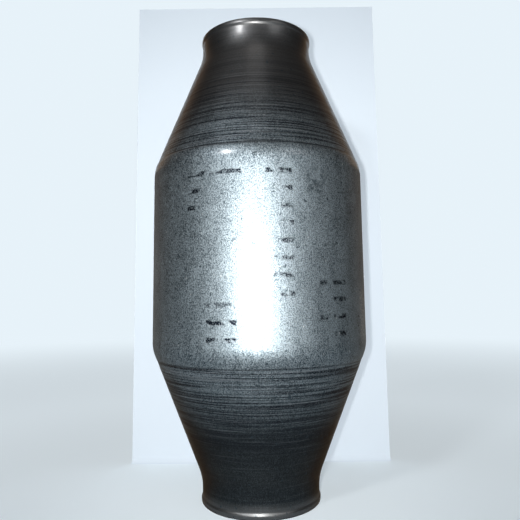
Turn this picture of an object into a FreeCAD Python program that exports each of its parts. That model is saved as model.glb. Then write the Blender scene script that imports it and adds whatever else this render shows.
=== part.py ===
"""Round catalytic converter with a spun one-piece can, in millimetres.

The can is one length of steel tube, spun down at both ends to a cone, a throat
and a short belled neck that takes the exhaust pipe.  Inside it a ceramic
honeycomb brick is held by a fibre mat, and a knitted wire ring guards each end
of the mat from the gas.  The axis is +Z, the origin is the centre of the lower
rim, and the two ends are alike.
"""
import FreeCAD, Part
import math
import os

Vector = FreeCAD.Vector
AXIS = Vector(0, 0, 1)

# Honeycomb brick
brick_diameter = 114.3
brick_length = 101.6
brick_skin = 1.0         # solid rim round the cells
cell_pitch = 5.0         # from one cell wall to the next
cell_wall = 0.5
smallest_cell = 0.15     # share of a whole cell below which a cut cell is left solid

# Packing between the brick and the can
mat_thickness = 4.75     # squeezed between the brick and the can
seal_length = 5.0        # along the axis
seal_corner = 1.2        # bevelled corners of the ring's section
seal_margin = 2.7        # from the end of the straight barrel to the ring

# Can
wall_thickness = 1.6
shoulder_overlap = 2.2   # the brick passes the end of the straight barrel by this much
shoulder_radius = 20.8   # outside of the bend from barrel to cone
throat_radius = 33.0     # outside of the bend from cone to neck
end_length = 90.9        # from the end of the straight barrel to the rim
neck_bore = 64.8         # slips over a 63.5 pipe
neck_land = 3.0          # straight length of the neck
lip_length = 4.0         # belled length beyond the land
lip_rise = 0.5           # how far the bell opens
rim_chamfer = 0.3

# Sizes that follow
brick_radius = brick_diameter / 2
can_inner_radius = brick_radius + mat_thickness
can_radius = can_inner_radius + wall_thickness
barrel_half = brick_length / 2 - shoulder_overlap
half_length = barrel_half + end_length
seal_outer_end = barrel_half - seal_margin
mat_half = seal_outer_end - seal_length
neck_radius = neck_bore / 2 + wall_thickness
lip_start = half_length - lip_length
throat_end = lip_start - neck_land
lip_radius = (lip_length ** 2 + lip_rise ** 2) / (2 * lip_rise)


def arc(centre, radius, start, end):
    """Edge of a circle in the XZ plane; angles are turned from +X towards +Z."""
    def at(angle):
        return centre + Vector(math.cos(angle), 0, math.sin(angle)) * radius
    return Part.Arc(at(start), at((start + end) / 2), at(end)).toShape()


def line(start, end):
    return Part.LineSegment(start, end).toShape()


def start_of(edge):
    return edge.valueAt(edge.FirstParameter)


def end_of(edge):
    return edge.valueAt(edge.LastParameter)


def revolved(edges):
    """Solid made by turning a closed outline in the XZ plane about the axis."""
    outline = Part.Wire(Part.__sortEdges__(edges))
    return Part.Face(outline).revolve(Vector(), AXIS, 360)


def cone_angle():
    """Half angle of the cone that touches the shoulder bend and the throat bend."""
    run = throat_end - barrel_half
    rise = (neck_radius + throat_radius) - (can_radius - shoulder_radius)
    return math.asin((shoulder_radius + throat_radius) / math.hypot(run, rise)) - math.atan2(rise, run)


def wall_side(inset):
    """Upper end of one side of the wall, from the barrel to the rim.

    The outside has inset 0.  The inside keeps the same bend centres, so the
    wall has one thickness all the way.
    """
    angle = cone_angle()
    lip_bend = lip_radius + inset
    shoulder = arc(Vector(can_radius - shoulder_radius, 0, barrel_half),
                   shoulder_radius - inset, 0, angle)
    throat = arc(Vector(neck_radius + throat_radius, 0, throat_end),
                 throat_radius + inset, math.pi + angle, math.pi)
    lip_turn = math.asin((lip_length - rim_chamfer) / lip_bend)
    lip = arc(Vector(neck_radius + lip_radius, 0, lip_start), lip_bend, math.pi, math.pi - lip_turn)
    cone = line(end_of(shoulder), start_of(throat))
    land = line(end_of(throat), start_of(lip))
    return [shoulder, cone, throat, land, lip]


def rim_edges(outside, inside):
    """Flat rim with a chamfer on each side, between the ends of the two sides."""
    step_in = Vector(rim_chamfer, 0, 0)
    step_up = Vector(0, 0, rim_chamfer)
    outer_tip = end_of(outside[-1])
    inner_tip = end_of(inside[-1])
    outer_corner = outer_tip + step_up - step_in
    inner_corner = inner_tip + step_up + step_in
    return [line(outer_tip, outer_corner), line(outer_corner, inner_corner), line(inner_corner, inner_tip)]


def shell():
    """The spun can: barrel, two shoulders, cones, throats and belled necks in one wall."""
    outside = wall_side(0)
    inside = wall_side(wall_thickness)
    upper_end = outside + inside + rim_edges(outside, inside)
    lower_end = [edge.mirror(Vector(), AXIS) for edge in upper_end]
    barrel = [line(Vector(radius, 0, -barrel_half), Vector(radius, 0, barrel_half))
              for radius in (can_radius, can_inner_radius)]
    return revolved(upper_end + lower_end + barrel)


def cell_outlines():
    """Outlines of the square cells, those at the edge cut round by the brick's skin.

    A wall crossing lies on the axis, so the pattern is the same in each quarter.
    """
    core_radius = brick_radius - brick_skin
    core = Part.Face(Part.Wire(Part.makeCircle(core_radius)))
    width = cell_pitch - cell_wall
    rows = math.ceil(core_radius / cell_pitch)
    corners = [index * cell_pitch + cell_wall / 2 for index in range(-rows, rows)]
    outlines = []
    for x in corners:
        for y in corners:
            cell = Part.makePlane(width, width, Vector(x, y, 0))
            reach = math.hypot(max(abs(x), abs(x + width)), max(abs(y), abs(y + width)))
            if reach > core_radius:
                cell = cell.common(core)
            if cell.Area > smallest_cell * width ** 2:
                outlines.append(cell.Faces[0].OuterWire)
    return outlines


def brick():
    """Ceramic honeycomb: a round skin filled with straight square cells."""
    skin = Part.Wire(Part.makeCircle(brick_radius))
    section = Part.makeFace([skin] + cell_outlines(), "Part::FaceMakerBullseye")
    section.translate(Vector(0, 0, -brick_length / 2))
    return section.extrude(AXIS * brick_length)


def ring_section(low, high, bevel):
    """Corner points of a ring that fills the space between brick and can.

    Each corner is cut back by the bevel.
    """
    inner, outer = brick_radius, can_inner_radius
    return [Vector(inner + bevel, 0, low), Vector(outer - bevel, 0, low),
            Vector(outer, 0, low + bevel), Vector(outer, 0, high - bevel),
            Vector(outer - bevel, 0, high), Vector(inner + bevel, 0, high),
            Vector(inner, 0, high - bevel), Vector(inner, 0, low + bevel)]


def packing_ring(low, high, bevel=0.0):
    """Ring round the brick from one height to another."""
    corners = ring_section(low, high, bevel)
    sides = zip(corners, corners[1:] + corners[:1])
    return revolved([line(start, end) for start, end in sides if start != end])


def mat():
    """Fibre mat wrapped round the brick."""
    return packing_ring(-mat_half, mat_half)


def wire_seal():
    """Knitted wire ring at the upper end of the mat."""
    return packing_ring(mat_half, seal_outer_end, seal_corner)


def main():
    upper_seal = wire_seal()
    pieces = {
        "shell": shell(),
        "honeycomb_brick": brick(),
        "support_mat": mat(),
        "upper_wire_seal": upper_seal,
        "lower_wire_seal": upper_seal.mirror(Vector(), AXIS),
    }
    os.makedirs("parts", exist_ok=True)
    for name, piece in pieces.items():
        piece.translate(AXIS * half_length)
        piece.exportStep(f"parts/{name}.step")
        print(f"{name}: {piece.ShapeType}, valid {piece.isValid()}, volume {piece.Volume / 1000:.2f} cm3")
    print(f"can {2 * can_radius:.1f} across, {2 * half_length:.1f} long, "
          f"cone {math.degrees(cone_angle()):.2f} degrees a side")


main()
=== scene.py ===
"""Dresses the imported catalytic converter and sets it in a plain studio.

The spun can and the honeycomb are modelled again with their fine detail and
stand for their CAD solids.  The mat and the two wire rings get their finish on
top of the solids.  Everything is in metres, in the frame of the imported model.
"""
import logging
import math
from collections.abc import Iterable
from dataclasses import dataclass
from enum import Enum
from typing import Any

import bpy
import numpy as np
from mathutils import Matrix, Vector


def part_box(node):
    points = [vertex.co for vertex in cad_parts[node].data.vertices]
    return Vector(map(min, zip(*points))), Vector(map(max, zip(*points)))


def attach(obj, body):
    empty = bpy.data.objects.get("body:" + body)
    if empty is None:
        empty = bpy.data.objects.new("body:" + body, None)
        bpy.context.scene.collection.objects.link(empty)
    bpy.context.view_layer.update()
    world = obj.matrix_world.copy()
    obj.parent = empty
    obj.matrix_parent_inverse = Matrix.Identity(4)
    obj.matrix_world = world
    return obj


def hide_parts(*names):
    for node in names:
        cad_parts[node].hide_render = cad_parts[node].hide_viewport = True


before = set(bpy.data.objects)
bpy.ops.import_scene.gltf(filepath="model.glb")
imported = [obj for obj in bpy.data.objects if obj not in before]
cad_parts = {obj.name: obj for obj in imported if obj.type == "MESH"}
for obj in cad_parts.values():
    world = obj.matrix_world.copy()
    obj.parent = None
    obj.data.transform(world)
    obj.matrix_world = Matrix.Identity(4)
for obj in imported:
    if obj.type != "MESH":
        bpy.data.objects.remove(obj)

Triple = tuple[float, float, float]

MM = 0.001
BODY = "root"
SEED = 20
WHITE: Triple = (1.0, 1.0, 1.0)
BLACK: Triple = (0.0, 0.0, 0.0)
log = logging.getLogger("converter")


class Maths(Enum):
    """What a Math node works out."""

    SUM = "ADD"
    DIFFERENCE = "SUBTRACT"
    PRODUCT = "MULTIPLY"
    QUOTIENT = "DIVIDE"
    POWER = "POWER"
    WITHOUT_SIGN = "ABSOLUTE"
    ANGLE = "ARCTAN2"
    NEAREST_WHOLE = "ROUND"
    LARGER = "MAXIMUM"


class RayKind(Enum):
    """The rays that a finish can tell apart."""

    CAMERA = "Is Camera Ray"
    GLOSSY = "Is Glossy Ray"
    TRANSMISSION = "Is Transmission Ray"
    SHADOW = "Is Shadow Ray"


class Value:
    """A socket that can be used like a number, so that shader maths reads as maths."""

    def __init__(self, tree: bpy.types.NodeTree, socket: bpy.types.NodeSocket) -> None:
        """Keeps the tree and the output socket."""
        self.tree = tree
        self.socket = socket

    def _math(self, operation: Maths, first: Any, *rest: Any) -> "Value":
        """Adds one Math node.

        Args:
            operation: what the node works out.
            first: its first input, a Value or a number.
            rest: its further inputs.

        Returns:
            The node's result.
        """
        node = self.tree.nodes.new("ShaderNodeMath")
        node.operation = operation.value
        for target, item in zip(node.inputs, (first, *rest)):
            plug(self.tree, target, item)
        return Value(self.tree, node.outputs[0])

    def __add__(self, other: Any) -> "Value":
        """Sum."""
        return self._math(Maths.SUM, self, other)

    __radd__ = __add__

    def __mul__(self, other: Any) -> "Value":
        """Product."""
        return self._math(Maths.PRODUCT, self, other)

    __rmul__ = __mul__

    def __sub__(self, other: Any) -> "Value":
        """Difference."""
        return self._math(Maths.DIFFERENCE, self, other)

    def __rsub__(self, other: Any) -> "Value":
        """Difference, the other way round."""
        return self._math(Maths.DIFFERENCE, other, self)

    def __truediv__(self, other: Any) -> "Value":
        """Quotient."""
        return self._math(Maths.QUOTIENT, self, other)

    def __rtruediv__(self, other: Any) -> "Value":
        """Quotient, the other way round."""
        return self._math(Maths.QUOTIENT, other, self)

    def __pow__(self, other: Any) -> "Value":
        """Power."""
        return self._math(Maths.POWER, self, other)

    def __neg__(self) -> "Value":
        """Opposite."""
        return self._math(Maths.PRODUCT, self, -1.0)

    def __abs__(self) -> "Value":
        """Size without sign."""
        return self._math(Maths.WITHOUT_SIGN, self)

    def angle_to(self, other: Any) -> "Value":
        """Angle of the point with this height over the other length."""
        return self._math(Maths.ANGLE, self, other)

    def rounded(self) -> "Value":
        """Nearest whole number."""
        return self._math(Maths.NEAREST_WHOLE, self)

    def max(self, other: Any) -> "Value":
        """The larger of two."""
        return self._math(Maths.LARGER, self, other)

    def between(self, low: float, high: float) -> "Value":
        """Runs from one number to the other as this value runs from 0 to 1."""
        return self * (high - low) + low

    def step(self, off: float, on: float) -> "Value":
        """Smooth step from 0 at one value to 1 at another, which may be the smaller one.

        Args:
            off: value at which and past which the step is 0.
            on: value at which and past which it is 1.

        Returns:
            The step.
        """
        node = self.tree.nodes.new("ShaderNodeMapRange")
        node.interpolation_type = "SMOOTHSTEP"
        upward = off < on
        plug(self.tree, node.inputs["Value"], self)
        node.inputs["From Min"].default_value = min(off, on)
        node.inputs["From Max"].default_value = max(off, on)
        node.inputs["To Min"].default_value = 0.0 if upward else 1.0
        node.inputs["To Max"].default_value = 1.0 if upward else 0.0
        return Value(self.tree, node.outputs["Result"])


def plug(tree: bpy.types.NodeTree, target: bpy.types.NodeSocket, item: Any) -> None:
    """Feeds a socket from a Value, or sets it to a number or colour.

    Args:
        tree: the tree that the socket is in.
        target: the input socket.
        item: a Value, a number, or three numbers.
    """
    if isinstance(item, Value):
        tree.links.new(item.socket, target)
    elif isinstance(item, tuple) and len(item) == 3 and target.type == "RGBA":
        target.default_value = (*item, 1.0)
    else:
        target.default_value = item


def in_use(sockets: Iterable[bpy.types.NodeSocket], name: str | None = None) -> bpy.types.NodeSocket:
    """First socket that the node's settings leave in use, of the given name if there is one."""
    return next(socket for socket in sockets if socket.enabled and name in (None, socket.name))


class Nodes:
    """Adds nodes to one node tree."""

    def __init__(self, tree: bpy.types.NodeTree) -> None:
        """Keeps the tree."""
        self.tree = tree

    def node(self, kind: str, settings: dict[str, Any] | None = None, output: str | None = None,
             **inputs: Any) -> Value:
        """Adds any node.

        Args:
            kind: the node's type.
            settings: its settings, set before its inputs.
            output: the output to return, or None for the first one in use.
            inputs: values or links of its sockets, with _ for a space in a name.

        Returns:
            The chosen output.
        """
        node = self.tree.nodes.new(kind)
        for key, setting in (settings or {}).items():
            setattr(node, key, setting)
        for key, item in inputs.items():
            plug(self.tree, in_use(node.inputs, key.replace("_", " ")), item)
        return Value(self.tree, in_use(node.outputs, output))

    def mix(self, share: Any, first: Any, second: Any) -> Value:
        """Colour between two colours."""
        return self.node("ShaderNodeMix", {"data_type": "RGBA"}, Factor=share, A=first, B=second)

    def blend(self, share: Value, first: Value, second: Value) -> Value:
        """Shader between two shaders, whose sockets share one name and so go by their order.

        Args:
            share: share of the second shader.
            first: the first shader.
            second: the second shader.

        Returns:
            The blend.
        """
        node = self.tree.nodes.new("ShaderNodeMixShader")
        for target, item in zip(node.inputs, (share, first, second)):
            plug(self.tree, target, item)
        return Value(self.tree, node.outputs[0])

    def parts(self, vector: Value) -> list[Value]:
        """The x, y and z of a vector."""
        node = self.tree.nodes.new("ShaderNodeSeparateXYZ")
        plug(self.tree, node.inputs["Vector"], vector)
        return [Value(self.tree, socket) for socket in node.outputs]

    def combined(self, x: Any, y: Any, z: Any) -> Value:
        """A vector from three numbers or Values."""
        return self.node("ShaderNodeCombineXYZ", X=x, Y=y, Z=z)

    def stretched(self, where: Value, scale: Triple) -> Value:
        """A place with each axis multiplied by its own number, so that below 1 a pattern grows longer."""
        return self.node("ShaderNodeMapping", Vector=where, Scale=scale)

    def noise(self, where: Value, size: float, detail: float = 2.0, rough: float = 0.5) -> Value:
        """Soft noise from 0 to 1.

        Args:
            where: the place to read it at.
            size: how big its blots are, in metres.
            detail: how many finer layers it has.
            rough: how strong each finer layer is, as a share of the one before.

        Returns:
            The noise.
        """
        return self.node("ShaderNodeTexNoise", Vector=where, Scale=1 / size, Detail=detail, Roughness=rough)

    def bump(self, height: Value, depth: float) -> Value:
        """Normal of a surface raised by height times depth, in metres."""
        return self.node("ShaderNodeBump", Height=height, Distance=depth, Strength=1.0)


class Paint(Nodes):
    """The nodes of one material."""

    def __init__(self, name: str) -> None:
        """Starts an empty material with one output."""
        self.material = bpy.data.materials.new(name)
        self.material.use_nodes = True
        super().__init__(self.material.node_tree)
        self.tree.nodes.clear()
        self.out = self.tree.nodes.new("ShaderNodeOutputMaterial")

    def place(self) -> tuple[Value, Value, Value, Value]:
        """Object coordinates: the vector and its x, y and z."""
        where = self.node("ShaderNodeTexCoord", output="Object")
        return where, *self.parts(where)

    def ray(self, kind: RayKind) -> Value:
        """1 for rays of the kind and 0 for the others."""
        return self.node("ShaderNodeLightPath", output=kind.value)

    def finished(self, shader: Value) -> bpy.types.Material:
        """Ends the material with a shader."""
        plug(self.tree, self.out.inputs["Surface"], shader)
        return self.material

    def surface(self, **inputs: Any) -> bpy.types.Material:
        """Ends the material with a Principled surface."""
        return self.finished(self.node("ShaderNodeBsdfPrincipled", **inputs))


@dataclass(frozen=True)
class Blots:
    """Noise turned into soft-edged blots.

    The size is in metres.  The edge gives the noise at which a blot starts and
    the noise at which it is full.  A stretch below 1 makes the blots longer
    along that axis, and detail and rough are the noise's own.
    """

    size: float
    edge: tuple[float, float]
    stretch: Triple = (1, 1, 1)
    detail: float = 1.0
    rough: float = 0.5

    def lay(self, paint: Paint, where: Value) -> Value:
        """1 where the blots are full and 0 between them."""
        place = paint.stretched(where, self.stretch)
        return paint.noise(place, self.size, self.detail, self.rough).step(*self.edge)


def grid_mesh(name: str, points: np.ndarray, faces: np.ndarray) -> bpy.types.Object:
    """Object at the origin from whole arrays.

    Args:
        name: the object's name.
        points: vertices, one row each.
        faces: corner numbers, four to a row.

    Returns:
        The linked object.
    """
    mesh = bpy.data.meshes.new(name)
    mesh.vertices.add(len(points))
    mesh.vertices.foreach_set("co", points.astype(np.float32).ravel())
    mesh.loops.add(faces.size)
    mesh.loops.foreach_set("vertex_index", faces.astype(np.int32).ravel())
    mesh.polygons.add(len(faces))
    mesh.polygons.foreach_set("loop_start", np.arange(0, faces.size, 4, dtype=np.int32))
    mesh.update(calc_edges=True)
    mesh.validate()
    made = bpy.data.objects.new(name, mesh)
    bpy.context.scene.collection.objects.link(made)
    return made


def soften(piece: bpy.types.Object, hard_angle: float) -> None:
    """Shades a piece smooth, apart from edges that turn by more than the angle in degrees."""
    piece.data.shade_smooth()
    piece.data.set_sharp_from_angle(angle=math.radians(hard_angle))


def line(start: np.ndarray, end: np.ndarray, step: float) -> np.ndarray:
    """Points of a straight line.

    Args:
        start: where it starts.
        end: where it stops, which isn't among the points.
        step: about how far apart the points are.

    Returns:
        The points, evenly spread.
    """
    count = max(round(float(np.hypot(*(end - start))) / step), 1)
    share = np.arange(count)[:, None] / count
    return start + (end - start) * share


def arc(centre: np.ndarray, radius: float, start: float, end: float, step: float) -> np.ndarray:
    """Points of a circle's arc, each the centre plus the radius times the angle's cosine and sine.

    Args:
        centre: the circle's centre.
        radius: its radius.
        start: angle of the first point.
        end: angle of the last point.
        step: about how far apart the points are.

    Returns:
        The points, both ends included.
    """
    count = max(round(abs(end - start) * radius / step), 4)
    angle = np.linspace(start, end, count + 1)
    return centre + radius * np.stack([np.cos(angle), np.sin(angle)], 1)


def wrapped_quads(rows: int, columns: int) -> np.ndarray:
    """Quads of a grid whose rows and columns both close.

    Args:
        rows: how many rows of points there are.
        columns: how many points are in a row.

    Returns:
        Corner numbers, four to a row.
    """
    row, column = np.meshgrid(np.arange(rows), np.arange(columns), indexing="ij")
    below, right = (row + 1) % rows, (column + 1) % columns
    here, under = row * columns, below * columns
    return np.stack([here + column, here + right, under + right, under + column], 2).reshape(-1, 4)


@dataclass(frozen=True)
class RollerMarks:
    """Sizes of the rings that the roller sank into the spun lengths."""

    count: int = 52
    reach: float = 80 * MM
    crowding: float = 1.5
    widths: tuple[float, float] = (0.5 * MM, 0.9 * MM)
    widening: float = 60 * MM
    depths: tuple[float, float] = (0.012 * MM, 0.06 * MM)
    easing: float = 34 * MM
    crease_past: float = 0.9 * MM
    crease_width: float = 0.7 * MM
    crease_depth: float = 0.1 * MM
    sway: float = 0.1 * MM

    def depth(self, along: np.ndarray, turn: np.ndarray) -> np.ndarray:
        """Depth of the rings.

        Each ring is a bell curve over the distance past the crease.  The first
        rings lie close together and deep, and later ones are wider and
        shallower.  The very first one is the crease.

        Args:
            along: distance past the crease of each row, negative on the barrel.
            turn: angle of each column.

        Returns:
            Depth for each row and column.
        """
        dice = np.random.default_rng(SEED)
        spots = self.reach * np.sort(dice.random(self.count)) ** self.crowding
        widths = dice.uniform(*self.widths, self.count) * (1 + spots / self.widening)
        depths = dice.uniform(*self.depths, self.count) * np.exp(-spots / self.easing)
        spots[0], widths[0], depths[0] = self.crease_past, self.crease_width, self.crease_depth
        sway = self.sway * np.sin(turn + dice.uniform(0, 2 * math.pi))
        reach = along[:, None] + sway[None, :]
        bells = np.zeros_like(reach)
        for spot, width, depth in zip(spots, widths, depths):
            bells += depth * np.exp(-(((reach - spot) / width) ** 2))
        return bells


@dataclass
class SpunCan:
    """The one-piece can: barrel, shoulders, cones, throats and belled necks."""

    wall: float = 1.6 * MM
    shoulder_bend: float = 20.8 * MM
    throat_bend: float = 33.0 * MM
    barrel_half: float = 48.6 * MM
    neck_radius: float = 34.0 * MM
    neck_land: float = 3.0 * MM
    lip_length: float = 4.0 * MM
    lip_rise: float = 0.6 * MM
    lip_roll: float = 0.25 * MM
    lip_crest: float = 0.46
    rim_chamfer: float = 0.3 * MM
    crease: float = 57.25 * MM
    crease_drop: float = 1.15 * MM
    marks: RollerMarks = RollerMarks()
    marks_end: float = 6.0 * MM
    marks_turn: float = 2.0
    around: int = 144
    fine_step: float = 0.56 * MM
    coarse_step: float = 2.4 * MM
    barrel_step: float = 1.2 * MM
    outer_lip_rows: int = 20
    inner_lip_rows: int = 10
    hard_angle: float = 40.0

    def __post_init__(self) -> None:
        """Takes the radius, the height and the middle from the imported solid."""
        low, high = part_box("shell")
        self.radius = (high[0] - low[0]) / 2
        self.middle = (high[2] + low[2]) / 2
        self.half = (high[2] - low[2]) / 2

    def side(self, inset: float, step: float, lip_rows: int) -> np.ndarray:
        """Upper half of one side of the wall, from the middle to the rim.

        A straight barrel, a bend of the shoulder radius, the straight line that
        touches both bends, a bend of the throat radius the other way, a short
        straight neck, and a lip that opens in a smooth step up to its crest
        and rolls back over it as a square.

        Args:
            inset: distance in from the outside.
            step: length between rows.
            lip_rows: how many rows the lip has.

        Returns:
            Rows of radius and height over the middle.
        """
        lip_start = self.half - self.lip_length
        throat_end = lip_start - self.neck_land
        shoulder = np.array([self.radius - self.shoulder_bend, self.barrel_half])
        throat = np.array([self.neck_radius + self.throat_bend, throat_end])
        rise, run = throat - shoulder
        touching = math.asin((self.shoulder_bend + self.throat_bend) / math.hypot(run, rise))
        cone = touching - math.atan2(rise, run)
        first = arc(shoulder, self.shoulder_bend - inset, 0, cone, step)
        second = arc(throat, self.throat_bend + inset, math.pi + cone, math.pi, step)
        share = np.linspace(0, 1 - self.rim_chamfer / self.lip_length, lip_rows)
        up = np.minimum(share / self.lip_crest, 1)
        over = np.maximum(share - self.lip_crest, 0) / (1 - self.lip_crest)
        flare = self.lip_rise * up * up * (3 - 2 * up) - self.lip_roll * over * over
        slope_out = np.gradient(flare, share) / self.lip_length
        lip = np.stack([self.neck_radius + flare - inset / np.hypot(1, slope_out),
                        lip_start + share * self.lip_length], 1)
        barrel = line(np.array([self.radius - inset, 0.0]), first[0], max(step, self.barrel_step))
        slope = line(first[-1], second[0], step)
        land = line(second[-1], lip[0], step)
        return np.vstack([barrel, first[:-1], slope, second[:-1], land, lip])

    def marked(self, outside: np.ndarray, start: float, turn: np.ndarray) -> np.ndarray:
        """One half of the outside with the roller's rings sunk square to it.

        Args:
            outside: rows of radius and height over the middle.
            start: height of the crease, where the rings start.
            turn: angle of each column.

        Returns:
            Radius and height for each row and column.
        """
        slope = np.gradient(outside, axis=0)
        away = np.stack([slope[:, 1], -slope[:, 0]], 1) / np.hypot(*slope.T)[:, None]
        length = np.concatenate([[0], np.cumsum(np.hypot(*np.diff(outside, axis=0).T))])
        fade = np.clip((length[-1] - length) / self.marks_end, 0, 1)
        crease = np.interp(start, outside[:, 1], length)
        depth = self.marks.depth(length - crease, turn) * fade[:, None]
        return outside[:, None] - depth[:, :, None] * away[:, None]

    def build(self) -> bpy.types.Object:
        """Turns the wall's closed outline about the axis.

        Each row of the outline is a circle.  Rows wrap from the inside back to
        the outside and columns wrap round the axis, so the wall is closed.

        Returns:
            The can.
        """
        outside = self.side(0.0, self.fine_step, self.outer_lip_rows)
        inside = self.side(self.wall, self.coarse_step, self.inner_lip_rows)
        turn = np.linspace(0, 2 * math.pi, self.around, endpoint=False)
        upper = self.marked(outside, self.crease - self.crease_drop, turn)
        lower = self.marked(outside, self.crease + self.crease_drop, turn + self.marks_turn)
        chamfer = self.rim_chamfer
        rim = np.array([outside[-1] + (-chamfer, chamfer), inside[-1] + (chamfer, chamfer)])
        plain = np.repeat(np.vstack([rim, inside[::-1]])[:, None], self.around, 1)
        down = np.array([1, -1])
        wall = np.vstack([upper, plain, (plain * down)[-2::-1], (lower * down)[:0:-1]])
        radius, height = wall[..., 0], wall[..., 1] + self.middle
        points = np.stack([radius * np.cos(turn), radius * np.sin(turn), height], 2).reshape(-1, 3)
        made = grid_mesh("spun_can", points, wrapped_quads(len(wall), self.around))
        soften(made, self.hard_angle)
        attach(made, BODY)
        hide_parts("shell")
        log.info("can with %d rows of %d", len(wall), self.around)
        return made

    def dress(self, piece: bpy.types.Object, steel: "SpunSteel") -> None:
        """Gives the can its steel."""
        piece.data.materials.append(steel.make(self))


@dataclass
class Honeycomb:
    """The ceramic brick with its fine square cells."""

    pitch: float = 2.0 * MM
    wall: float = 0.32 * MM
    skin: float = 0.9 * MM

    def __post_init__(self) -> None:
        """Takes the brick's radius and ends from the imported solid."""
        low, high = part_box("honeycomb_brick")
        self.radius = (high[0] - low[0]) / 2
        self.low, self.high = low[2], high[2]

    @property
    def steps(self) -> np.ndarray:
        """The corners of a square of side 1, in order round it."""
        return np.array([(0, 0), (1, 0), (1, 1), (0, 1)])

    def squares(self) -> tuple[np.ndarray, np.ndarray, np.ndarray]:
        """Squares of the grid that fill the brick's circle.

        The squares whose centre lies in the circle are kept, and the corners
        on the edge of that set are moved out to the circle.

        Returns:
            Places of the corners, the four corner numbers of each square, and
            the squares' centres.
        """
        reach = int(math.ceil(self.radius / self.pitch))
        index = np.arange(-reach, reach)
        column, row = (a.ravel() for a in np.meshgrid(index, index))
        centre = (np.stack([column, row], 1) + 0.5) * self.pitch
        kept = np.hypot(*centre.T) < self.radius
        column, row, centre = column[kept] + reach, row[kept] + reach, centre[kept]
        span = 2 * reach + 1
        corner = (column[:, None] + self.steps[:, 0]) * span + row[:, None] + self.steps[:, 1]
        used, square = np.unique(corner, return_inverse=True)
        square = square.reshape(-1, 4)
        lattice = (np.stack([used // span, used % span], 1) - reach) * self.pitch
        edge = np.bincount(square.ravel()) < 4
        lattice[edge] *= (self.radius / np.hypot(*lattice[edge].T))[:, None]
        return lattice, square, centre

    def build(self) -> bpy.types.Object:
        """Square cells on a grid, each a hole through the brick.

        A square wholly inside the skin gets a hole: four strips round it on
        each end face, and four walls down its length.

        Returns:
            The brick.
        """
        lattice, square, centre = self.squares()
        hollow = np.hypot(*(np.abs(centre) + self.pitch / 2).T) < self.radius - self.skin
        hole = centre[hollow][:, None] + (self.steps - 0.5) * (self.pitch - self.wall)
        flat = np.vstack([lattice, hole.reshape(-1, 2)])
        count = len(flat)
        hole_corner = len(lattice) + np.arange(hollow.sum() * 4).reshape(-1, 4)
        following = [1, 2, 3, 0]
        outer, outer_next = square[hollow], square[hollow][:, following]
        hole_next = hole_corner[:, following]
        strips = np.stack([outer, outer_next, hole_next, hole_corner], 2).reshape(-1, 4)
        top = np.vstack([square[~hollow], strips])
        walls = np.stack([hole_corner, hole_next, hole_next + count, hole_corner + count], 2).reshape(-1, 4)
        sides = np.stack([square, square[:, following]], 2).reshape(-1, 2)
        rim = sides[self.single(sides, count)]
        skin = np.stack([rim[:, 1], rim[:, 0], rim[:, 0] + count, rim[:, 1] + count], 1)
        faces = np.vstack([top, top[:, ::-1] + count, walls, skin])
        points = np.vstack([np.column_stack([flat, np.full(count, z)]) for z in (self.high, self.low)])
        made = grid_mesh("honeycomb", points, faces)
        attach(made, BODY)
        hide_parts("honeycomb_brick")
        log.info("honeycomb with %d cells", int(hollow.sum()))
        return made

    def dress(self, piece: bpy.types.Object, ceramic: "Ceramic") -> None:
        """Gives the brick its ceramic."""
        piece.data.materials.append(ceramic.make(self))

    @staticmethod
    def single(sides: np.ndarray, count: int) -> np.ndarray:
        """Marks the sides that belong to one square only.

        Args:
            sides: two corner numbers in each row.
            count: a number above every corner number.

        Returns:
            True for each row whose two corners are met once, in either order.
        """
        key = np.minimum(sides[:, 0], sides[:, 1]) * count + np.maximum(sides[:, 0], sides[:, 1])
        _, back, number = np.unique(key, return_inverse=True, return_counts=True)
        return number[back] == 1


class CanSite:
    """Where a point of the can lies, as Values that the patterns of the steel share.

    Height is over the can's middle, and from_middle is the same without sign.
    The belt is the level midway between the two creases.  Round_it goes round
    the barrel from its front to the right.  The others run from 0 to 1: upper
    from the lower half to the upper, spun from the barrel to past the creases,
    neck on towards the necks, and inner from the outside to the inside.
    """

    RAGGED_SIZE = 3 * MM
    RAGGED_DEPTH = 1.6 * MM

    def __init__(self, paint: Paint, can: SpunCan) -> None:
        """Works the places out from Object coordinates and the can's own sizes.

        Args:
            paint: the material's nodes.
            can: the can that wears it.
        """
        self.can = can
        self.paint = paint
        self.where, x, y, z = paint.place()
        self.height = z - can.middle
        self.from_middle = abs(self.height)
        self.from_belt = abs(self.height + can.crease_drop)
        self.upper = self.height.step(-can.barrel_half, can.barrel_half)
        self.round_it = x.angle_to(-y) * can.radius
        ragged = (paint.noise(self.where, self.RAGGED_SIZE) - 0.5) * self.RAGGED_DEPTH
        self.spun = (self.from_belt + ragged).step(can.crease - 0.9 * MM, can.crease + 0.7 * MM)
        self.neck = self.from_belt.step(can.crease + 5 * MM, can.crease + 42 * MM)
        facing_x, facing_y, _ = paint.parts(paint.node("ShaderNodeTexCoord", output="Normal"))
        self.inner = ((facing_x * x + facing_y * y) / can.radius).step(0.02, -0.02)

    def lay(self, blots: Blots) -> Value:
        """Blots over the whole can."""
        return blots.lay(self.paint, self.where)

    def patch(self, round_it: float, height: float, width: tuple[float, float],
              tall: tuple[float, float]) -> Value:
        """Soft-edged patch on the barrel.

        Args:
            round_it: its middle, round the barrel from the front to the right.
            height: its middle, over the middle of the can.
            width: half its width at its faded edge and where it is full.
            tall: half its height at its faded edge and where it is full.

        Returns:
            1 inside the patch and 0 outside.
        """
        across = abs(self.round_it - round_it).step(*width)
        return across * abs(self.height - height).step(*tall)


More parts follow.
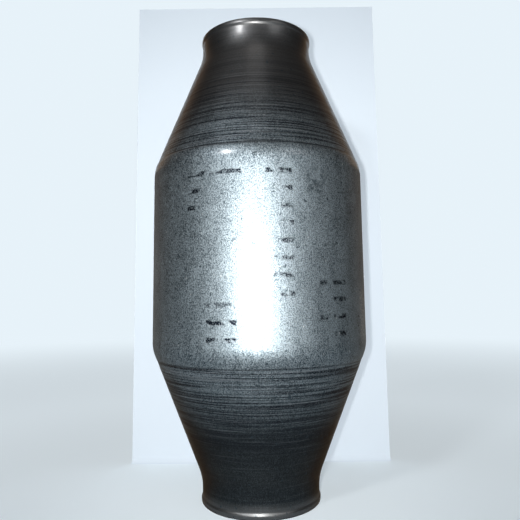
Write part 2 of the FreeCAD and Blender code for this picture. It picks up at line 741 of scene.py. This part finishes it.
@dataclass(frozen=True)
class Frost:
    """Speckle of the frosted steel, as four patterns and the share of each."""

    grain: Blots = Blots(0.43 * MM, (0.32, 0.68), (1, 1, 0.7), rough=0.6)
    grain_share: float = 0.78
    mottle: Blots = Blots(1.4 * MM, (0.35, 0.65), (1, 1, 0.6))
    mottle_share: float = 0.03
    cloud: Blots = Blots(7 * MM, (0.35, 0.7), (1, 1, 0.5), detail=2.0)
    cloud_share: float = 0.12
    streak: Blots = Blots(0.6 * MM, (0.4, 0.62), (1, 1, 0.12))
    streak_share: float = 0.22

    def darkness(self, site: CanSite) -> Value:
        """How dark the speckle is, with uneven patches and short upright streaks at the shoulders.

        Args:
            site: the places on the can.

        Returns:
            0 where the steel is pale, and 1 or a little more where it is darkest.
        """
        shoulder = site.from_belt.step(site.can.barrel_half - 6 * MM, site.can.barrel_half + 3 * MM)
        found = site.lay(self.grain) * self.grain_share + site.lay(self.mottle) * self.mottle_share
        found = found + site.lay(self.cloud) * self.cloud_share
        return found + site.lay(self.streak) * shoulder * self.streak_share


@dataclass(frozen=True)
class CreaseLine:
    """A long dark ring near a crease, such as the painted shade in the crease groove: how far past it, how
    wide to each side, and how dark.
    """

    past: float
    width: float
    depth: float


@dataclass(frozen=True)
class RollerRings:
    """Colour and fine relief of the rings on the spun lengths."""

    fine: Blots = Blots(0.75 * MM, (0.42, 0.6), (0.012, 0.012, 1), rough=0.6)
    broad: Blots = Blots(2.6 * MM, (0.45, 0.7), (0.03, 0.03, 1), rough=0.6)
    grain: Blots = Blots(0.55 * MM, (0.36, 0.6), rough=0.6)
    patchy: Blots = Blots(22 * MM, (0.35, 0.55), (1, 1, 0.2))
    bright: Blots = Blots(0.7 * MM, (0.57, 0.68), (0.02, 0.02, 1.1))
    feed: float = 0.5 * MM
    reach: float = 60 * MM
    crowded: float = 18 * MM
    # the first line is painted shade in the crease groove, the others dark rings beside it
    crease_shade_and_rings: tuple[CreaseLine, ...] = (
        CreaseLine(0.9 * MM, 0.6 * MM, 0.9),
        CreaseLine(6.4 * MM, 0.4 * MM, 0.8),
        CreaseLine(9.6 * MM, 0.35 * MM, 0.7),
    )

    def dark(self, site: CanSite) -> Value:
        """Dark rings that come and go round the can, crowded near the crease.

        Args:
            site: the places on the can.

        Returns:
            0 for none, and more where a ring is dark.
        """
        crease = site.can.crease
        near = site.from_belt.step(crease + self.reach, crease + self.crowded)
        found = site.lay(self.fine) * near.between(0.14, 0.74) * site.lay(self.grain).between(0.6, 1.3)
        found = found + site.lay(self.broad) * 0.2
        shown = site.lay(self.patchy).between(0.2, 0.9) * site.upper.between(0.35, 1.0)
        # painted shade in the crease groove, and dark rings beside it, stronger on the upper half
        for ring in self.crease_shade_and_rings:
            line_gap = abs(site.from_belt - (crease + ring.past))
            found = found.max(line_gap.step(ring.width, ring.width * 0.3) * shown * ring.depth)
        return found * site.spun

    def pale(self, site: CanSite) -> Value:
        """Thin bright rings where the roller rubbed the steel clean."""
        near = site.from_belt.step(site.can.crease + self.reach, site.can.crease)
        return site.lay(self.bright) * near.between(0.05, 0.55) * site.spun

    def relief(self, site: CanSite) -> Value:
        """Fine relief of the roller's feed, as level rings."""
        level = site.paint.stretched(site.where, (0.02, 0.02, 1))
        return site.paint.noise(level, self.feed, 1.0, 0.6) * site.spun


@dataclass(frozen=True)
class Wear:
    """Dark and bright marks of handling."""

    smudge: Blots = Blots(3.4 * MM, (0.4, 0.6), detail=2.0)
    dark_speck: Blots = Blots(1.8 * MM, (0.785, 0.815), detail=0.0)
    scuff: Blots = Blots(0.7 * MM, (0.5, 0.62), (1, 1, 0.6), rough=0.6)
    bright_speck: Blots = Blots(1.4 * MM, (0.84, 0.87), (1.1, 1.1, 0.8), detail=0.0)

    def dark(self, site: CanSite) -> Value:
        """Grey patch high on the right, rare specks, and a small tick below the lower crease.

        Args:
            site: the places on the can.

        Returns:
            How dark they are, from 0 to 1.
        """
        patch = site.patch(32 * MM, 37 * MM, (8 * MM, 3 * MM), (9 * MM, 4 * MM))
        smudge = patch * site.lay(self.smudge) * 0.65
        tick = site.patch(-0.4 * MM, -63.4 * MM, (0.5 * MM, 0.2 * MM), (2.3 * MM, 1.6 * MM))
        return smudge.max(site.lay(self.dark_speck) * 0.8).max(tick * 0.8)

    def bright(self, site: CanSite) -> Value:
        """Pale grain low on the right flank, where the can was rubbed, and rare specks on the barrel.

        Args:
            site: the places on the can.

        Returns:
            How bright they are, from 0 to 1.
        """
        patch = site.patch(75 * MM, -34 * MM, (9 * MM, 3 * MM), (19 * MM, 9 * MM))
        found = (patch * site.lay(self.scuff)).max(site.lay(self.bright_speck))
        return found * 0.6 * (1 - site.neck)


@dataclass(frozen=True)
class PrintPatch:
    """A part of the worn ink rows that can still be made out.

    Distances along are round the barrel from its front, to the right, and
    heights are over the middle of the can.
    """

    start: float
    end: float
    top_row: float
    rows: int
    strength: float = 1.0
    row_pitch: float = 8.8 * MM


@dataclass(frozen=True)
class WornInk:
    """Rubbed-off ink: smeared dashes in level rows where a patch still shows."""

    blots: Blots = Blots(1.7 * MM, (0.34, 0.54), detail=0.0)
    grit: Blots = Blots(0.7 * MM, (0.36, 0.58))
    left: Blots = Blots(5 * MM, (0.24, 0.38))
    row_edge: tuple[float, float] = (1.7 * MM, 0.6 * MM)
    patches: tuple[PrintPatch, ...] = (
        PrintPatch(-39.5 * MM, -31 * MM, 41 * MM, 3),
        PrintPatch(-31 * MM, -8 * MM, 41.2 * MM, 1, 1.1),
        PrintPatch(2 * MM, 18.2 * MM, 41.3 * MM, 1, 1.4),
        PrintPatch(13 * MM, 18.4 * MM, 32.3 * MM, 1, 1.3),
        PrintPatch(12 * MM, 18.4 * MM, 23.2 * MM, 1, 0.8),
        PrintPatch(11.5 * MM, 19.2 * MM, 14.3 * MM, 1, 1.1),
        PrintPatch(8 * MM, 18.8 * MM, 5.3 * MM, 3, 0.85),
        PrintPatch(11 * MM, 19 * MM, -21.6 * MM, 1, 0.9),
        PrintPatch(-27.5 * MM, -13 * MM, -27 * MM, 1, 0.7),
        PrintPatch(-27.5 * MM, -11 * MM, -35.6 * MM, 2, 1.5),
        PrintPatch(33 * MM, 38 * MM, -16.3 * MM, 2, 1.0, 17.6 * MM),
        PrintPatch(42 * MM, 52 * MM, -16 * MM, 4, 1.1),
    )

    def rows(self, site: CanSite) -> Value:
        """How much ink is left.

        A row is where the height is close to a whole number of row pitches
        below the patch's top row, between the ends of the patch.

        Args:
            site: the places on the can.

        Returns:
            0 for none, and 1 or a little more where the ink is whole.
        """
        found: Value | float = 0.0
        for patch in self.patches:
            level = (site.height - patch.top_row) / patch.row_pitch
            row = level.rounded()
            line_gap = abs(level - row) * patch.row_pitch
            middle = (patch.start + patch.end) / 2
            half = (patch.end - patch.start) / 2
            along = abs(site.round_it - middle).step(half + 0.5 * MM, half - 0.8 * MM)
            last = abs(row + (patch.rows - 1) / 2).step(patch.rows / 2 + 0.01, patch.rows / 2 - 0.01)
            found = line_gap.step(*self.row_edge) * along * last * patch.strength + found
        return found * self.dashes(site)

    def dashes(self, site: CanSite) -> Value:
        """Dashes and dots over the whole barrel: long blots, broken by grit and gone in upright bands.

        Args:
            site: the places on the can.

        Returns:
            0 for none, and 1 or a little more where a dash is whole.
        """
        paint = site.paint
        blots = self.blots.lay(paint, paint.combined(site.round_it * 0.4, 0.0, site.height * 0.55))
        grit = self.grit.lay(paint, paint.combined(site.round_it, 0.0, site.height))
        left = self.left.lay(paint, paint.combined(site.round_it, 5.0, site.height * 0.4))
        return blots * grit.between(0.3, 1.15) * left


@dataclass(frozen=True)
class SpunSteel:
    """Bare steel: frosted on the barrel, ringed and burnished towards the necks, and darker there, partly
    its own tone and partly painted shade, most of all on the lower neck.
    """

    barrel: Triple = (0.35, 0.417, 0.457)
    barrel_dark: Triple = (0.05, 0.07, 0.086)
    upper_neck: Triple = (0.106, 0.105, 0.106)
    # painted shade: the lower neck's colour is far darker than the upper neck's
    shaded_lower_neck: Triple = (0.0255, 0.0305, 0.0335)
    inside: Triple = (0.24, 0.2, 0.165)
    ring: Triple = (0.019, 0.023, 0.031)
    ink: Triple = (0.008, 0.011, 0.018)
    # lip: paler rubbed steel that also serves as a painted highlight on the lips
    lip: Triple = (0.26, 0.26, 0.262)
    rubbed: Triple = (0.33, 0.36, 0.39)
    worn_bright: Triple = (0.68, 0.7, 0.7)
    edge_tint: Triple = (0.56, 0.4, 0.28)
    frost_rough: float = 0.5
    film_rough: float = 0.22
    neck_rough: float = 0.42
    mean_frost: float = 0.4
    grain_gloss: float = 0.25
    feed_relief: float = 0.5
    ring_relief: float = 0.4
    relief_depth: float = 0.05 * MM
    frosting: Frost = Frost()
    rings: RollerRings = RollerRings()
    wear: Wear = Wear()
    worn_ink: WornInk = WornInk()

    def make(self, can: SpunCan) -> bpy.types.Material:
        """Nodes of the finish, placed from the can's own sizes.

        Args:
            can: the can that wears it.

        Returns:
            The material.
        """
        paint = Paint("spun_steel")
        site = CanSite(paint, can)
        frost = self.frosting.darkness(site)
        ring = self.rings.dark(site)
        rough = site.neck.between(self.frost_rough, self.neck_rough)
        rough = rough + (self.mean_frost - frost) * (1 - site.neck) * self.grain_gloss
        relief = frost * (1 - site.neck) + self.rings.relief(site) * self.feed_relief
        relief = relief - ring * self.ring_relief
        return paint.surface(Base_Color=self.colour(site, frost, ring), Metallic=1.0,
                             Roughness=rough, Normal=paint.bump(relief, self.relief_depth),
                             Specular_Tint=self.edge_tint, Coat_Weight=self.film(site),
                             Coat_Roughness=self.film_rough)

    def colour(self, site: CanSite, frost: Value, ring: Value) -> Value:
        """Colour of the steel, from the bare metal up to the ink and the rims, and then the bore.

        Args:
            site: the places on the can.
            frost: how dark the speckle is.
            ring: how dark the rings are.

        Returns:
            The colour.
        """
        paint = site.paint
        barrel = paint.mix(frost, self.barrel, self.barrel_dark)
        # painted shade: the lower half of the necks takes the much darker colour
        neck = paint.mix(site.upper, self.shaded_lower_neck, self.upper_neck)
        # painted highlight on the lips, together with rubbed wear
        neck = paint.mix(self.lip_wear_and_painted_sheen(site), neck, self.lip)
        body = paint.mix(site.neck * frost.between(0.86, 1.0), barrel, neck)
        body = paint.mix(self.rings.pale(site), body, self.rubbed)
        body = paint.mix(self.wear.bright(site), body, self.worn_bright)
        body = paint.mix(ring, body, self.ring)
        body = paint.mix(self.wear.dark(site), body, self.barrel_dark)
        body = paint.mix(self.worn_ink.rows(site), body, self.ink)
        half = site.can.half
        rim = site.from_middle.step(half - 0.7 * MM, half - 0.3 * MM) * 0.9
        body = paint.mix(rim, body, self.ring)
        bore = paint.mix(frost, self.inside, self.upper_neck)
        return paint.mix(site.inner, body, bore)

    def lip_wear_and_painted_sheen(self, site: CanSite) -> Value:
        """How far the lips are rubbed bright and painted with a sheen that stands in for a highlight, the
        lower one more.
        """
        half = site.can.half
        return site.from_middle.step(half - 9 * MM, half - 3 * MM) * site.upper.between(0.5, 0.2)

    def film(self, site: CanSite) -> Value:
        """Thin oily film past the barrel's ends, strongest on the upper shoulder.

        Args:
            site: the places on the can.

        Returns:
            How much of it there is, from 0 to 1.
        """
        can = site.can
        past_barrel = site.from_middle.step(can.barrel_half, can.barrel_half + 3 * MM)
        shoulder = past_barrel * site.from_middle.step(can.crease + 1 * MM, can.crease - 2 * MM) * site.upper
        return past_barrel * site.upper.between(0.05, 0.6) + shoulder * 0.4


@dataclass(frozen=True)
class Ceramic:
    """Coated honeycomb: matt and earthy."""

    light: Triple = (0.55, 0.45, 0.32)
    dark: Triple = (0.38, 0.3, 0.21)
    # deep: colour of the painted shade inside the cells
    deep: Triple = (0.07, 0.05, 0.035)
    blots: Blots = Blots(9 * MM, (0.35, 0.65), detail=3.0)
    grain: float = 0.3 * MM

    def make(self, brick: Honeycomb) -> bpy.types.Material:
        """Nodes of the finish: paler end faces, and painted shade in the cells a little way in.

        Args:
            brick: the brick that wears it.

        Returns:
            The material.
        """
        paint = Paint("coated_ceramic")
        where, _, _, z = paint.place()
        grain = paint.noise(where, self.grain)
        colour = paint.mix(self.blots.lay(paint, where), self.light, self.dark)
        depth = (brick.high - brick.low) / 2 - abs(z - (brick.high + brick.low) / 2)
        # painted shade: the cells go dark from a little way in from each end face
        colour = paint.mix(depth.step(0.05 * MM, 1.2 * MM), colour, self.deep)
        return paint.surface(Base_Color=colour, Roughness=grain.between(0.85, 0.95),
                             Normal=paint.bump(grain, 0.03 * MM))


@dataclass(frozen=True)
class FibreMat:
    """Squeezed fibre mat with flakes of mica."""

    fibre: Triple = (0.6, 0.56, 0.48)
    flake: Triple = (0.36, 0.29, 0.18)
    flakes: Blots = Blots(1.6 * MM, (0.55, 0.65), detail=2.0)
    fibre_size: float = 0.4 * MM

    def make(self) -> bpy.types.Material:
        """Nodes of the finish."""
        paint = Paint("fibre_mat")
        where = paint.place()[0]
        fibre = paint.noise(paint.stretched(where, (1, 1, 0.2)), self.fibre_size, 3.0)
        colour = paint.mix(self.flakes.lay(paint, where), self.fibre, self.flake)
        return paint.surface(Base_Color=colour, Roughness=0.95, Normal=paint.bump(fibre, 0.1 * MM))


@dataclass(frozen=True)
class KnittedWire:
    """Wire knit pressed into a ring."""

    wire: Triple = (0.4, 0.37, 0.34)
    # gap: painted shade in the openings between the wires
    gap: Triple = (0.03, 0.028, 0.026)
    mesh: float = 0.9 * MM

    def make(self) -> bpy.types.Material:
        """Nodes of the finish: wires along the edges of small uneven cells, with painted shade in the
        openings between them.
        """
        paint = Paint("knitted_wire")
        where = paint.place()[0]
        edges = paint.node("ShaderNodeTexVoronoi", {"feature": "DISTANCE_TO_EDGE"},
                           Vector=where, Scale=1 / self.mesh)
        wire = edges.step(0.22, 0.05)
        colour = paint.mix(wire, self.gap, self.wire)
        return paint.surface(Base_Color=colour, Metallic=0.9, Roughness=0.45,
                             Normal=paint.bump(wire, 0.15 * MM))


@dataclass
class Packing:
    """The mat and the two wire rings round the brick, which stay as their CAD solids."""

    mat: FibreMat = FibreMat()
    wire: KnittedWire = KnittedWire()

    def dress(self) -> None:
        """Gives each solid its finish."""
        wire = self.wire.make()
        finishes = {"support_mat": self.mat.make(), "upper_wire_seal": wire, "lower_wire_seal": wire}
        for node, finish in finishes.items():
            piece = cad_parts[node]
            piece.data.materials.clear()
            piece.data.materials.append(finish)
            log.info("%s: %s", node, finish.name)


@dataclass(frozen=True)
class PaleFinish:
    """Matt pale finish that isn't there from behind and casts no shadow.

    Where it is looked at or mirrored, a share of its light is its own: one
    share under the part, one a part's height away, and one far away.  Mirrored
    says how bright it looks in metal, as a share of how bright it is.
    """

    name: str
    colour: Triple
    under: float
    near: float
    far: float
    mirrored: float
    near_reach: tuple[float, float] = (0.08, 0.35)
    far_reach: tuple[float, float] = (0.4, 1.3)

    def make(self) -> bpy.types.Material:
        """Nodes of the finish."""
        paint = Paint(self.name)
        glossy = paint.ray(RayKind.GLOSSY)
        seen = paint.ray(RayKind.CAMERA).max(glossy * self.mirrored).max(paint.ray(RayKind.TRANSMISSION))
        glow = paint.node("ShaderNodeEmission", Color=self.colour, Strength=1.0)
        dimmed = paint.mix(glossy * (1 - self.mirrored), self.colour, BLACK)
        matt = paint.node("ShaderNodeBsdfDiffuse", Color=dimmed)
        front = paint.blend(seen * self.own_light(paint), matt, glow)
        clear = paint.node("ShaderNodeBsdfTransparent")
        behind = paint.node("ShaderNodeNewGeometry", output="Backfacing")
        gone = behind.max(paint.ray(RayKind.SHADOW))
        return paint.finished(paint.blend(gone, front, clear))

    def own_light(self, paint: Paint) -> Value:
        """Share of its light that is its own, by the distance from the foot of the part.

        Args:
            paint: the material's nodes.

        Returns:
            The share.
        """
        x, y, z = paint.place()[1:]
        away = (x * x + y * y + z * z) ** 0.5
        share = away.step(*self.near_reach) * (self.near - self.under)
        return share + away.step(*self.far_reach) * (self.far - self.near) + self.under


def rising(front: float, back: float, bend: float, height: float, points: int = 17) -> np.ndarray:
    """Side view of a sheet that lies on the floor and rises at the back.

    Args:
        front: where it starts.
        back: where it stands upright.
        bend: radius of its quarter circle.
        height: how high it reaches.
        points: how many points the quarter circle has.

    Returns:
        Rows of depth and height.
    """
    angle = np.linspace(-math.pi / 2, 0, points)
    cove = np.stack([back - bend + bend * np.cos(angle), bend + bend * np.sin(angle)], 1)
    return np.vstack([[(front, 0.0)], cove, [(back, height)]])


def sheet(name: str, half_width: float, side: np.ndarray) -> bpy.types.Object:
    """Sheet with the given side view, drawn out to both sides and seen from its upper face.

    Args:
        name: the object's name.
        half_width: how far it goes to each side.
        side: rows of depth and height.

    Returns:
        The linked object.
    """
    points = np.vstack([np.column_stack([np.full(len(side), x), side]) for x in (-half_width, half_width)])
    count = len(side)
    start = np.arange(count - 1)
    faces = np.stack([start, start + count, start + count + 1, start + 1], 1)
    made = grid_mesh(name, points, faces)
    soften(made, hard_angle=60.0)
    return made


class LampKind(Enum):
    """How a lamp gives its light."""

    BEAM = "SPOT"
    PANEL = "AREA"


@dataclass(frozen=True)
class Lamp:
    """A lamp, placed from the middle of the part and aimed at it.

    A beam is round with soft edges, and its spread is its whole angle in
    degrees.  A panel is round, or oval if it has a depth.
    """

    name: str
    kind: LampKind
    spot: Triple
    power: float
    size: float
    spread: float = 0.0
    depth: float | None = None
    colour: Triple = WHITE
    aim_up: float = 0.0

    def hang(self, middle: Vector) -> None:
        """Links the lamp where it belongs, turned to its aim.

        Args:
            middle: the middle of the part.
        """
        data = bpy.data.lights.new(self.name, self.kind.value)
        data.energy, data.color = self.power, self.colour
        if self.kind is LampKind.BEAM:
            data.spot_size, data.spot_blend = math.radians(self.spread), 1.0
            data.shadow_soft_size = self.size
        else:
            data.shape = "ELLIPSE"
            data.size, data.size_y = self.size, self.depth or self.size
        made = bpy.data.objects.new(self.name, data)
        bpy.context.scene.collection.objects.link(made)
        spot = middle + Vector(self.spot)
        aim = middle + Vector((0.0, 0.0, self.aim_up))
        made.location = spot
        made.rotation_mode = "QUATERNION"
        made.rotation_quaternion = (aim - spot).to_track_quat("-Z", "Y")


@dataclass
class Studio:
    """A pale card close behind the part on a pale floor, a far backdrop, the lamps and the camera."""

    focal: float = 37.25
    sensor: float = 36.0
    distance: float = 331.9 * MM
    aside: float = 1.2 * MM
    below_middle: float = 22.6 * MM
    pitch: float = 7.1
    roll: float = -0.71
    shift: float = -0.06
    card_gap: float = 6.0 * MM
    card_half_width: float = 92 * MM
    card_height: float = 343 * MM
    card_bend: float = 4 * MM
    floor_half_width: float = 1.0
    floor_reach: float = 3.0
    backdrop_distance: float = 1.5
    backdrop_bend: float = 0.3
    backdrop_height: float = 1.4
    card_finish: PaleFinish = PaleFinish("pale_card", (0.71, 0.80, 0.89), 0.72, 0.42, 0.42, 0.7)
    floor_finish: PaleFinish = PaleFinish("pale_floor", (0.8, 0.89, 0.95), 0.47, 0.68, 1.0, 0.45)
    beam_tint: Triple = (1.0, 0.975, 0.935)
    key_aside: Triple = (-17 * MM, 0.0, 6 * MM)
    room_front: Triple = (0.047, 0.047, 0.047)
    room_back: Triple = (0.4, 0.28, 0.18)
    room_turn: tuple[float, float] = (0.3, 0.85)
    panels: tuple[Lamp, ...] = (
        Lamp("upper_left", LampKind.PANEL, (-0.57, -0.87, 0.62), 4.8, 0.15),
        Lamp("front_right", LampKind.PANEL, (0.6, -0.75, 0.42), 1.1, 0.5),
        Lamp("overhead", LampKind.PANEL, (0.0, -0.3, 1.16), 0.5, 0.4, depth=1.2),
        Lamp("front_high", LampKind.PANEL, (-0.07, -1.0, 0.35), 0.6, 0.05),
    )

    @property
    def camera_spot(self) -> Vector:
        """Where the camera stands, from the middle of the part."""
        return Vector((self.aside, -self.distance, -self.below_middle))

    def beams(self) -> tuple[Lamp, ...]:
        """The key lamp close beside the camera, one beam along the bore each way, and one behind.

        Returns:
            The four lamps.
        """
        beside_camera = tuple(self.camera_spot + Vector(self.key_aside))
        bore = {"kind": LampKind.BEAM, "power": 30, "size": 20 * MM, "spread": 4.2, "colour": self.beam_tint}
        return (
            Lamp("key", LampKind.BEAM, beside_camera, 7.1, 5 * MM, 74, colour=self.beam_tint, aim_up=2 * MM),
            Lamp("down_the_bore", spot=(0.0, 0.0, 1.0), **bore),
            Lamp("up_the_bore", spot=(0.0, 0.0, -1.0), **bore),
            Lamp("behind", LampKind.BEAM, (0.3, 1.1, 0.06), 14, 60 * MM, 22, colour=self.beam_tint),
        )

    def camera(self, middle: Vector) -> None:
        """Camera in front of the part, a little below its middle and turned up.

        Args:
            middle: the middle of the part.
        """
        data = bpy.data.cameras.new("camera")
        data.lens, data.sensor_width, data.shift_y = self.focal, self.sensor, self.shift
        data.clip_start, data.clip_end = 0.01, 50
        made = bpy.data.objects.new("camera", data)
        bpy.context.scene.collection.objects.link(made)
        turn = Matrix.Rotation(math.radians(90), 4, "X")
        tilt = Matrix.Rotation(math.radians(self.pitch), 4, "X")
        lean = Matrix.Rotation(math.radians(-self.roll), 4, "Y")
        made.matrix_world = Matrix.Translation(middle + self.camera_spot) @ tilt @ lean @ turn
        bpy.context.scene.camera = made

    def room(self) -> None:
        """Dim surroundings, plain in front and warm behind."""
        world = bpy.data.worlds.new("room")
        bpy.context.scene.world = world
        world.use_nodes = True
        nodes = Nodes(world.node_tree)
        way = nodes.node("ShaderNodeTexCoord", output="Generated")
        back = nodes.parts(way)[1].step(*self.room_turn)
        colour = nodes.mix(back, self.room_front, self.room_back)
        plug(nodes.tree, nodes.tree.nodes["Background"].inputs["Color"], colour)

    def stage(self, can: SpunCan) -> None:
        """Floor, card and backdrop.

        The floor and the far backdrop are one sheet that rises in a quarter
        circle.  The card is a narrower one that stands just behind the part.

        Args:
            can: the can that stands on it.
        """
        behind = can.radius + self.card_gap
        side = rising(behind - self.card_bend, behind, self.card_bend, self.card_height)
        card = sheet("card", self.card_half_width, side)
        card.data.materials.append(self.card_finish.make())
        side = rising(-self.floor_reach, self.backdrop_distance, self.backdrop_bend, self.backdrop_height)
        floor = sheet("floor", self.floor_half_width, side)
        floor.data.materials.append(self.floor_finish.make())

    def build(self, can: SpunCan) -> None:
        """Sets up the stage, the lamps, the room and the camera round the part.

        Args:
            can: the can in the middle of it.
        """
        middle = Vector((0.0, 0.0, can.middle))
        self.stage(can)
        lamps = (*self.beams(), *self.panels)
        for lamp in lamps:
            lamp.hang(middle)
        self.room()
        self.camera(middle)
        log.info("studio with %d lamps", len(lamps))


def main() -> None:
    """Builds and dresses every piece, then the studio."""
    logging.basicConfig(level=logging.INFO, format="%(name)s: %(message)s")
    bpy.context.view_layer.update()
    can = SpunCan()
    can.dress(can.build(), SpunSteel())
    honeycomb = Honeycomb()
    honeycomb.dress(honeycomb.build(), Ceramic())
    Packing().dress()
    Studio().build(can)
    bpy.context.scene.view_settings.view_transform = "Standard"


if __name__ == "__main__":
    main()
